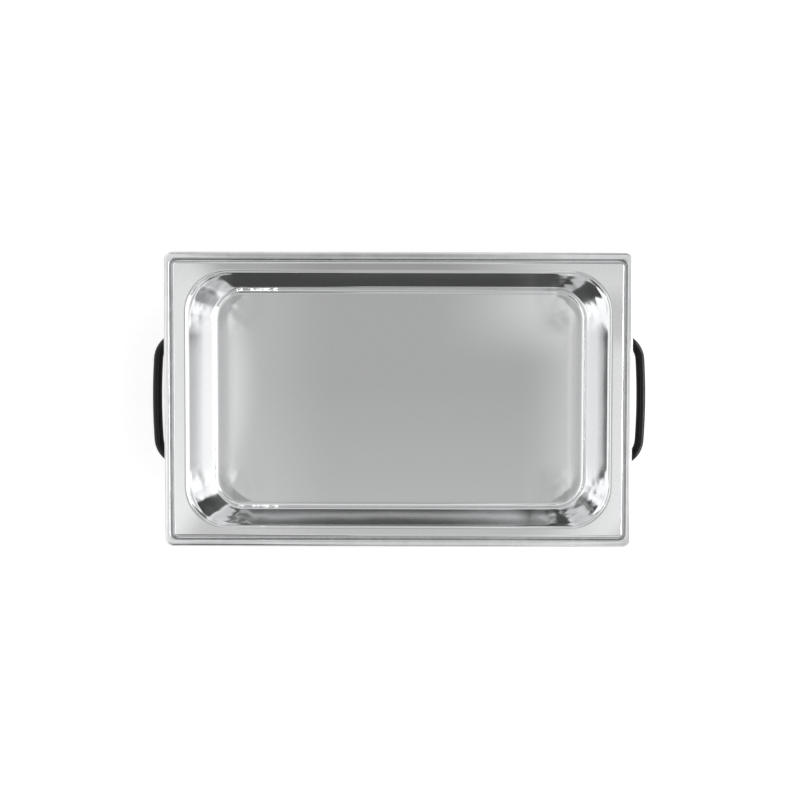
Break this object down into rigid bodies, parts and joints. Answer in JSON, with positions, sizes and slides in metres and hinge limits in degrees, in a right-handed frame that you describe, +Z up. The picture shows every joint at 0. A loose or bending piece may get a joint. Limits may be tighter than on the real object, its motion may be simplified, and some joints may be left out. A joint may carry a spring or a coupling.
{
  "type": "electric chafing dish",
  "caption": "Open electric chafing dish: a lift-out steel food pan in a heated water pan, on a sheet housing with bar handles, thermostat knob, switch and lamp",
  "frame": {"origin": "centre of the bounding box on the table under the feet", "axes": "+Z up, X along the dish through both handles, the controls on the front wall face -Y"},
  "size_m": [0.6086, 0.37, 0.163],
  "materials": {
    "pan_steel": "satin floor, polished walls",
    "rim_steel": "polished",
    "housing_steel": "brushed",
    "base_steel": "matte",
    "fastener_steel": "satin",
    "foot_rubber": "matte",
    "handle_black": "gloss",
    "collar_black": "satin",
    "spreader_aluminium": "satin",
    "element_sheath": "heat tinted",
    "cutout_black": "matte",
    "thermostat_case": "matte",
    "knob_black": "satin",
    "copper": "satin",
    "switch_black": "satin",
    "rocker_red": "gloss",
    "lamp_amber": "gloss",
    "gland_black": "satin",
    "block_ceramic": "matte",
    "brass": "satin",
    "wire_insulation": "matte"
  },
  "bodies": {
    "dish": {"water_pan": "rim_steel", "housing": "housing_steel", "base_plate": "base_steel", "base_screws": "fastener_steel", "foot_front_left": "foot_rubber", "foot_front_right": "foot_rubber", "foot_rear_left": "foot_rubber", "foot_rear_right": "foot_rubber", "foot_screws": "fastener_steel", "foot_nuts": "fastener_steel", "handle_left": "handle_black", "handle_right": "handle_black", "handle_collars": "collar_black", "handle_screws": "fastener_steel", "heat_spreader": "spreader_aluminium", "heating_element": "element_sheath", "clamp_bars": "fastener_steel", "heater_studs": "fastener_steel", "heater_nuts": "fastener_steel", "thermal_cutout": "cutout_black", "cutout_screws": "fastener_steel", "thermostat_body": "thermostat_case", "thermostat_screws": "fastener_steel", "thermostat_bulb": "copper", "switch_body": "switch_black", "pilot_lamp_body": "switch_black", "pilot_lamp_lens": "lamp_amber", "pilot_lamp_nut": "switch_black", "cable_gland": "gland_black", "gland_cap": "gland_black", "gland_seal": "foot_rubber", "gland_locknut": "gland_black", "terminal_block": "block_ceramic", "terminal_screw": "fastener_steel", "earth_stud": "brass", "earth_nut": "brass", "wiring": "wire_insulation"},
    "pan": {"food_pan": "pan_steel"},
    "knob": {"thermostat_shaft": "fastener_steel", "thermostat_knob": "knob_black"},
    "rocker": {"switch_rocker": "rocker_red"}
  },
  "joints": [
    {"name": "pan_lift", "type": "slide", "parent": "dish", "child": "pan", "axis": [0, 0, 1], "range_m": [0, 0.15]},
    {"name": "knob_turn", "type": "hinge", "parent": "dish", "child": "knob", "pos_m": [0.19, -0.16, 0.041], "axis": [0, 1, 0], "range_deg": [0, 270]},
    {"name": "rocker_tilt", "type": "hinge", "parent": "dish", "child": "rocker", "pos_m": [0.098, -0.157, 0.041], "axis": [-1, 0, 0], "range_deg": [0, 20]}
  ]
}
